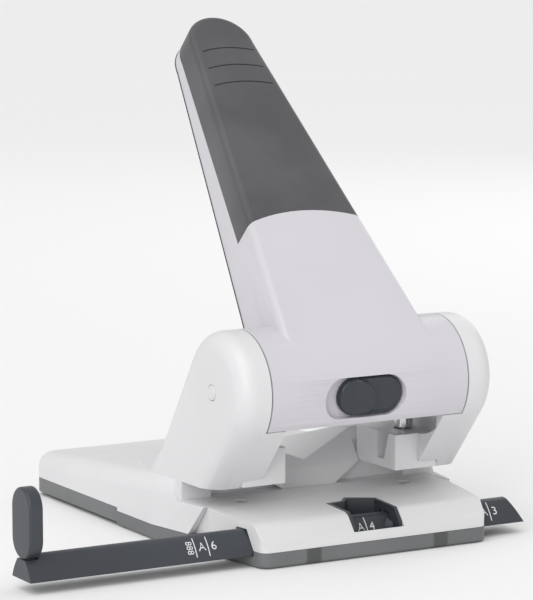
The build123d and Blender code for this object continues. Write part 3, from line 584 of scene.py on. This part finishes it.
@dataclass
class PressLever:
    """The long lever: shell, soft grip, back cover, the seam round it and its two screws."""

    lean: float = math.radians(45.4)
    edge: float = 0.45 * MM
    length: float = 183.0 * MM
    tip_radius_rise: float = 15.9 * MM
    half_width: float = 35.1 * MM
    taper: float = 0.1163
    face: float = 25.0 * MM
    depth_tip: float = 19.5 * MM
    depth_gain: float = 0.0715
    seam_from: float = 33.0 * MM
    seam_radius: float = 0.32 * MM
    back_edge: float = 0.2 * MM
    screw_radius: float = 2.8 * MM
    head_height: float = 1.3 * MM
    head_fall: float = 0.5 * MM
    cross_half: float = 0.42 * MM
    cross_reach: float = 1.55 * MM
    cross_depth: float = 0.7 * MM
    shank: float = 5.0 * MM
    screw_places: tuple[float, float] = (52.0 * MM, 150.0 * MM)
    body: str = "lever"

    def __post_init__(self) -> None:
        """Works out the lever's own directions from its hinge."""
        self.hub = joint_place("lever_hinge")
        self.along = np.array([0.0, math.cos(self.lean), math.sin(self.lean)])
        self.out = np.array([0.0, -math.sin(self.lean), math.cos(self.lean)])

    def rear(self, s: np.ndarray) -> np.ndarray:
        """Height of the rear face over the hub axis: the face less the depth, which grows towards the hub."""
        return self.face - self.depth_tip - self.depth_gain * (self.length - 7.0 * MM - s)

    def outline(self, straight: int, round_steps: int) -> np.ndarray:
        """Outline of the rear edge.

        The sides run straight from the hub to the shoulders, x = half width - taper * s, and the
        tip is the circle through both shoulders and the lever's end.

        Args:
            straight: Points on each side.
            round_steps: Points round the tip.

        Returns:
            Array of (x, s) pairs from the left side round to the right.
        """
        shoulder = self.length - self.tip_radius_rise
        half = self.half_width - self.taper * shoulder
        rise = self.tip_radius_rise
        radius = (half**2 + rise**2) / (2.0 * rise)
        centre = self.length - radius
        swing = math.atan2(half, shoulder - centre)
        s = np.linspace(self.seam_from, shoulder, straight)
        x = self.half_width - self.taper * s
        turn = np.linspace(-swing, swing, round_steps)[1:-1]
        tip = np.stack([radius * np.sin(turn), centre + radius * np.cos(turn)], axis=-1)
        left, right = np.stack([-x, s], axis=-1), np.stack([x, s], axis=-1)[::-1]
        return np.concatenate([left, tip, right])

    def seam(self) -> bpy.types.Mesh:
        """Thin dark line of painted shade that runs round the edge where the back cover meets the shell,
        standing in for the shadow in the gap between them.
        """
        line = self.outline(40, 40)
        x, s = line[:, 0], line[:, 1]
        height = self.rear(s) + self.seam_radius
        path = self.hub + np.multiply.outer(x, X_AXIS) + \
            np.multiply.outer(s, self.along) + np.multiply.outer(height, self.out)
        return sweep("lever_seam", path, circle(self.seam_radius, 10), self.out)

    def screw(self, s: float) -> bpy.types.Mesh:
        """Pan-head screw with a cross recess.

        The head is a shallow dome, depth times 1 less the squared radius, and the cross is cut in
        where the point lies within either slot.
        """
        facing = Facing(self.hub + s * self.along + float(self.rear(np.array(s))) * self.out,
                        X_AXIS, -self.along, -self.out)
        radius, slot, reach = self.screw_radius, self.cross_half, self.cross_reach

        def head(x: np.ndarray, y: np.ndarray) -> np.ndarray:
            """Height of the head over the cover."""
            dome = self.head_height - self.head_fall * (x**2 + y**2) / radius**2
            cross = ((np.abs(x) < slot) & (np.abs(y) < reach)) | ((np.abs(y) < slot) & (np.abs(x) < reach))
            return dome - self.cross_depth * cross

        return button(f"screw_{s / MM:.0f}", facing, 0.0, radius, -self.shank, head, (61, 61))

    def build(self, shell: bpy.types.Material, grip: bpy.types.Material, seam: bpy.types.Material,
              screw: bpy.types.Material) -> None:
        """Rounds, builds and dresses the lever's pieces.

        Args:
            shell: Plastic of the lever.
            grip: Soft moulding of the grip.
            seam: Dark shadow line.
            screw: Plated steel of the screws.
        """
        dress(softened("lever_body", "lever_shell", self.edge), shell, self.body)
        dress(softened("hand_grip", "lever_grip", self.edge, 3), grip, self.body)
        dress(softened("lever_rear_cover", "lever_back", self.back_edge), shell, self.body)
        # painted shade: a dark tube along the joint stands in for the shadow in the gap
        dress(new_piece("lever_seam", self.seam()), seam, self.body)
        screws = [new_piece(f"cover_screw_{i}", self.screw(s)) for i, s in enumerate(self.screw_places)]
        for piece in screws:
            dress(piece, screw, self.body)
        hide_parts("lever_screws")


@dataclass
class LockSlider:
    """The sliding lock button: a thin stadium with a scooped thumb knob at its left end."""

    tilt: float = math.radians(-7.8)
    floor: float = 20.3 * MM
    plate: float = 22.4 * MM
    crest: float = 27.4 * MM
    scoop: float = 0.7 * MM
    rim: float = 0.5 * MM
    rim_width: float = 0.9 * MM
    rounding: float = 0.8 * MM
    radius: float = 8.1 * MM
    ridge_start: float = 0.05
    knob_share: float = 0.985
    knob_edge: float = 0.14
    body: str = "lock"

    def surface(self, x: np.ndarray, y: np.ndarray, half: float, radius: float) -> np.ndarray:
        """Height of the button over the hub axis.

        Outside the knob it is a flat plate with a low rim. Inside the knob's circle it is a low
        flat on the left that climbs from the middle as a quarter of a sine wave to a crest at the
        right edge. A smooth step over the circle's edge joins the two, and another rounds the
        outline.
        """
        past = np.maximum(np.abs(x) - half, 0.0)
        inward = radius - np.hypot(past, y)
        lip = np.clip(inward / self.rim_width, 0.0, 1.0)
        band = np.clip(1.0 - np.abs(inward - self.rim_width) / self.rim_width, 0.0, 1.0)
        plate = self.plate + self.rim * band
        from_knob = np.hypot(x + half, y)
        climb = np.clip((x + half + self.ridge_start * radius) / radius, 0.0, 1.0)
        foot = self.plate + self.scoop
        knob = foot + (self.crest - foot) * np.sin(climb * math.pi / 2)
        edge = np.clip((radius * self.knob_share - from_knob) / (self.knob_edge * radius), 0.0, 1.0)
        edge = edge * edge * (3.0 - 2.0 * edge)
        height = plate + (np.maximum(knob, plate) - plate) * edge
        return height - self.rounding * (1.0 - np.sqrt(np.clip(1.0 - (1.0 - lip) ** 2, 0.0, 1.0)))

    def build(self, dark: bpy.types.Material) -> None:
        """Builds the button where the CAD slider sits and dresses it.

        Args:
            dark: Plastic of the button.
        """
        low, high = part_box("lock_slider")
        hub = joint_place("lever_hinge")
        out = np.array([0.0, -math.cos(self.tilt), math.sin(self.tilt)])
        along = np.array([0.0, math.sin(self.tilt), math.cos(self.tilt)])
        centre = hub + np.array([(low.x + high.x) / 2, 0.0, 0.0])
        half = (high.x - low.x) / 2 - self.radius
        facing = Facing(centre, X_AXIS, along, out)
        mesh = button("lock_button", facing, half, self.radius, self.floor,
                      lambda x, y: self.surface(x, y, half, self.radius), (221, 121))
        piece = new_piece("lock_button", mesh)
        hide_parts("lock_slider")
        dress(piece, dark, self.body)


@dataclass
class PaperGuide:
    """The sliding guide with its end stop and its printed format marks."""

    edge: float = 0.35 * MM
    half_width: float = 8.45 * MM
    waist: tuple[float, float] = (6.1 * MM, 4.8 * MM)
    shoulder: tuple[float, float] = (2.6 * MM, 9.0 * MM)
    ink: float = 0.04 * MM
    line_length: float = 8.6 * MM
    line_width: float = 0.42 * MM
    letter: float = 5.2 * MM
    small_letter: float = 4.0 * MM
    marks_rise: float = 6.4 * MM
    beside: float = 2.7 * MM
    a4_x: float = 0.4 * MM
    a6_x: float = -74.5 * MM
    wide_x: float = -80.4 * MM
    a3_x: float = 61.5 * MM
    body: str = "guide"
    turn: ClassVar[float] = -math.pi / 2

    def on_slope(self, points: np.ndarray, x: float, rise: float) -> np.ndarray:
        """Lays flat points on the guide's front slope.

        The slope is the circle through the guide's foot, waist and shoulder. A flat point's second
        coordinate becomes the length of arc from the foot, and the point stands off by the ink.

        Args:
            points: Array of N flat points.
            x: Place along the guide.
            rise: Length of arc from the foot to the flat origin.

        Returns:
            Array of N points in the frame.
        """
        low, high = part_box("guide_rail")
        middle = (low.y + high.y) / 2
        a = np.array([middle - self.half_width, low.z])
        b = np.array([middle - self.waist[0], low.z + self.waist[1]])
        c = np.array([middle - self.shoulder[0], low.z + self.shoulder[1]])
        lengths = np.array([a @ a, b @ b, c @ c])
        d = 2.0 * (a[0] * (b[1] - c[1]) + b[0] * (c[1] - a[1]) + c[0] * (a[1] - b[1]))
        centre = np.array([
            lengths @ np.array([b[1] - c[1], c[1] - a[1], a[1] - b[1]]),
            lengths @ np.array([c[0] - b[0], a[0] - c[0], b[0] - a[0]]),
        ]) / d
        radius = float(np.linalg.norm(a - centre))
        start = math.atan2(a[1] - centre[1], a[0] - centre[0])
        finish = math.atan2(c[1] - centre[1], c[0] - centre[0])
        way = math.copysign(1.0, (finish - start + math.pi) % (2 * math.pi) - math.pi)
        angle = start + way * (points[:, 1] + rise) / radius
        bulge = 1.0 if np.linalg.norm(centre - [middle, low.z]) < radius or centre[1] < low.z else -1.0
        reach = radius + bulge * self.ink
        return np.stack([points[:, 0] + x, centre[0] + reach * np.cos(angle),
                         centre[1] + reach * np.sin(angle)], axis=-1)

    def line(self, name: str, x: float, rise: float) -> bpy.types.Mesh:
        """A printed line up the slope: a narrow grid laid on the guide."""
        across = np.linspace(-0.5, 0.5, 3) * self.line_width
        up = np.linspace(0.0, self.line_length, 17)
        flat = np.stack(np.meshgrid(across, up, indexing="xy"), axis=-1).reshape(-1, 2)
        return mesh_from(name, self.on_slope(flat, x, rise), grid_faces(len(up), len(across)))

    def letters(self, name: str, text: str, size: float, x: float, rise: float,
                turn: float = 0.0) -> bpy.types.Mesh:
        """Generic characters laid on the slope, centred on their place.

        Args:
            name: Name of the mesh.
            text: Characters to print.
            size: Height of the type.
            x: Place along the guide.
            rise: Place up the slope.
            turn: Turn of the text in its plane.

        Returns:
            The laid mesh.
        """
        curve = bpy.data.curves.new(name, "FONT")
        curve.body = text
        curve.size = size
        curve.resolution_u = 6
        holder = bpy.data.objects.new(name + "_flat", curve)
        bpy.context.scene.collection.objects.link(holder)
        mesh = bpy.data.meshes.new_from_object(holder.evaluated_get(bpy.context.evaluated_depsgraph_get()))
        bpy.data.objects.remove(holder)
        flat = np.array([v.co[:2] for v in mesh.vertices], float)
        flat -= (flat.min(0) + flat.max(0)) / 2
        c, s = math.cos(turn), math.sin(turn)
        flat = flat @ np.array([[c, s], [-s, c]])
        laid = self.on_slope(flat, x, rise)
        faces = [list(p.vertices) for p in mesh.polygons]
        return mesh_from(name, laid, faces)

    def marks(self) -> list[bpy.types.Mesh]:
        """All printed marks of the three formats and of the wide 888 spacing."""
        middle, beside = self.marks_rise, self.beside
        low = middle - self.line_length / 2
        made = [self.line(f"mark_line_{name}", x, low) for name, x in
                (("a4", self.a4_x), ("a6", self.a6_x), ("wide", self.wide_x), ("a3", self.a3_x))]
        for name, digit, x in (("a4", "4", self.a4_x), ("a6", "6", self.a6_x), ("a3", "3", self.a3_x)):
            made.append(self.letters(f"mark_a_{name}", "A", self.letter, x - beside, middle))
            made.append(self.letters(f"mark_digit_{name}", digit, self.letter, x + beside, middle))
        wide_x = self.wide_x - beside * 0.85
        made.append(self.letters("mark_wide", "888", self.small_letter, wide_x, middle, self.turn))
        return made

    def build(self, dark: bpy.types.Material, ink: bpy.types.Material) -> None:
        """Rounds and dresses the guide, and prints its marks.

        Args:
            dark: Plastic of the guide and its end stop.
            ink: White print.
        """
        dress(softened("guide_bar", "guide_rail", self.edge), dark, self.body)
        dress(softened("paper_end_stop", "end_stop", self.edge), dark, self.body)
        for mesh in self.marks():
            piece = new_piece(mesh.name, mesh)
            film = piece.modifiers.new("film", "SOLIDIFY")
            film.thickness = self.ink
            film.offset = -1.0
            dress(piece, ink, self.body)


@dataclass
class ReturnSpring:
    """Two coil springs round the drive tube that lift the lever."""

    inner_end: float = 19.2 * MM
    pitch: float = 1.9 * MM
    turns: int = 6
    coil_radius: float = 7.7 * MM
    wire_radius: float = 0.8 * MM
    body: str = "lever"

    def coil(self, side: int) -> bpy.types.Mesh:
        """One coil: a helix, x growing by the pitch for each turn round the hub axis."""
        hub = joint_place("lever_hinge")
        turn = np.linspace(0.0, 2.0 * np.pi * self.turns, 40 * self.turns)
        x = side * (self.inner_end + self.pitch * turn / (2.0 * np.pi))
        y = hub[1] + self.coil_radius * np.cos(turn)
        z = hub[2] + self.coil_radius * np.sin(turn)
        path = np.stack([x, y, z], axis=-1)
        outward = np.stack([np.zeros_like(turn), np.cos(turn), np.sin(turn)], axis=-1)
        return sweep(f"coil_{side}", path, circle(self.wire_radius, 12), outward)

    def build(self, wire: bpy.types.Material) -> None:
        """Builds both coils in place of the plain rings and dresses them.

        Args:
            wire: Spring steel.
        """
        sides = ((-1, "left"), (1, "right"))
        coils = [new_piece(f"{name}_return_coil", self.coil(side)) for side, name in sides]
        for piece in coils:
            dress(piece, wire, self.body)
        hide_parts("return_spring")


@dataclass
class ChipTray:
    """The tray under the punch that catches the paper chips."""

    edge: float = 0.5 * MM
    body: str = "tray"

    def build(self, smoke: bpy.types.Material) -> None:
        """Rounds and dresses the tray.

        Args:
            smoke: Grey smoked plastic.
        """
        dress(softened("chip_drawer", "chip_tray", self.edge), smoke, self.body)


@dataclass
class Studio:
    """Plain pale floor, soft lights and the camera."""

    camera_place: tuple[float, float, float] = (-0.6432, -1.0700, 0.2728)
    camera_down: float = math.radians(7.84)
    camera_turn: float = math.radians(-29.91)
    lens: float = 180.27
    reach: float = 40.0
    floor_drop: float = 0.2 * MM
    surround: float = 0.66
    sun_spread: float = math.radians(50.0)

    def floor(self) -> None:
        """A wide sheet just under the object, as a grid of a few faces."""
        steps = np.linspace(-self.reach, self.reach, 5)
        gx, gy = np.meshgrid(steps, steps, indexing="xy")
        points = np.stack([gx, gy, np.full_like(gx, -self.floor_drop)], axis=-1)
        mesh = bpy.data.meshes.new("floor")
        mesh.from_pydata(points.reshape(-1, 3).tolist(), [], grid_faces(5, 5))
        piece = new_piece("floor", mesh)
        piece.data.materials.append(PlainFloor().make())

    def light(self, name: str, place: Sequence[float], size: float, power: float) -> None:
        """A square soft light that points at the object's middle.

        Args:
            name: Name of the light.
            place: Where it stands, in metres.
            size: Side of the square.
            power: Watts.
        """
        lamp = bpy.data.lights.new(name, "AREA")
        lamp.size = size
        lamp.energy = power
        holder = bpy.data.objects.new(name, lamp)
        bpy.context.scene.collection.objects.link(holder)
        low, high = cad_box
        aim = (low + high) / 2 - type(low)(place)
        holder.location = place
        holder.rotation_euler = aim.to_track_quat("-Z", "Y").to_euler()

    def daylight(self, name: str, towards: Sequence[float], spread: float, strength: float) -> None:
        """An even light from one direction with soft shadows.

        Args:
            name: Name of the light.
            towards: Direction from the object to the light.
            spread: Angle that the light covers.
            strength: Watts per square metre.
        """
        lamp = bpy.data.lights.new(name, "SUN")
        lamp.angle = spread
        lamp.energy = strength
        holder = bpy.data.objects.new(name, lamp)
        bpy.context.scene.collection.objects.link(holder)
        aim = type(cad_box[0])(towards) * -1.0
        holder.rotation_euler = aim.to_track_quat("-Z", "Y").to_euler()

    def build(self) -> None:
        """Sets the floor, the surround, the lights and the camera."""
        self.floor()
        world = bpy.data.worlds.new("surround")
        world.use_nodes = True
        back = world.node_tree.nodes["Background"]
        back.inputs["Color"].default_value = (1.0, 1.0, 1.0, 1.0)
        back.inputs["Strength"].default_value = self.surround
        bpy.context.scene.world = world
        self.daylight("soft_daylight", (-0.9, -0.55, 1.5), self.sun_spread, 1.05)
        self.light("strip_left", (-1.1, -1.1, 0.55), 0.5, 4.2)
        self.light("strip_rear_right", (1.2, 0.8, 0.8), 0.8, 2.0)
        data = bpy.data.cameras.new("camera")
        data.lens = self.lens
        data.sensor_width = 36.0
        camera = bpy.data.objects.new("camera", data)
        camera.location = self.camera_place
        camera.rotation_euler = (math.pi / 2 - self.camera_down, 0.0, self.camera_turn)
        bpy.context.scene.collection.objects.link(camera)
        bpy.context.scene.camera = camera
        bpy.context.scene.view_settings.view_transform = "Standard"


def main() -> None:
    """Builds the finishes and the sub-assemblies in order."""
    logging.basicConfig(level=logging.INFO)
    white = MouldedPlastic("body_light_grey", (0.74, 0.74, 0.75), 0.36).make()
    lilac = MouldedPlastic("lever_light_grey", (0.640, 0.622, 0.662), 0.34).make()
    table = MouldedPlastic("table_light_grey", (0.72, 0.72, 0.725), 0.42).make()
    dark = MouldedPlastic("slate_satin", (0.046, 0.052, 0.062), 0.36, 2400.0, 0.00002, 0.85).make()
    knob = MouldedPlastic("slate_gloss", (0.030, 0.035, 0.043), 0.22, 2400.0, 0.00001, 0.85).make()
    # painted shade for the lever's seam line; the same dark plastic is also the rear feet's own colour
    shadow = MouldedPlastic("seam_dark", (0.035, 0.035, 0.038), 0.6).make()
    zinc = Steel("zinc_plated", (0.62, 0.63, 0.64), 0.36, (1.0, 1.0, 0.12)).make()
    ground = Steel("ground_bright", (0.78, 0.78, 0.79), 0.18, (1.0, 1.0, 0.05)).make()
    hardened = Steel("hardened_dull", (0.46, 0.46, 0.47), 0.34, (0.2, 1.0, 1.0)).make()
    wire = Steel("spring_wire", (0.40, 0.41, 0.43), 0.30, (1.0, 0.3, 0.3)).make()

    Housing().build(white, table, dark)
    PressLever().build(lilac, SoftTouch().make(), shadow, zinc)
    LockSlider().build(knob)
    PaperGuide().build(dark, PadPrint().make())
    ReturnSpring().build(wire)
    ChipTray().build(SmokedTray().make())
    coat(["axle_caps"], white)
    coat(["chassis", "die_plate", "die_screws", "lever_core", "lock_bar", "drive_tube"], zinc)
    coat(["axle", "left_punch", "right_punch"], ground)
    coat(["left_cam", "right_cam", "left_die", "right_die", "left_bush", "right_bush"], hardened)
    coat(["rear_feet"], shadow)
    Studio().build()


if __name__ == "__main__":
    main()
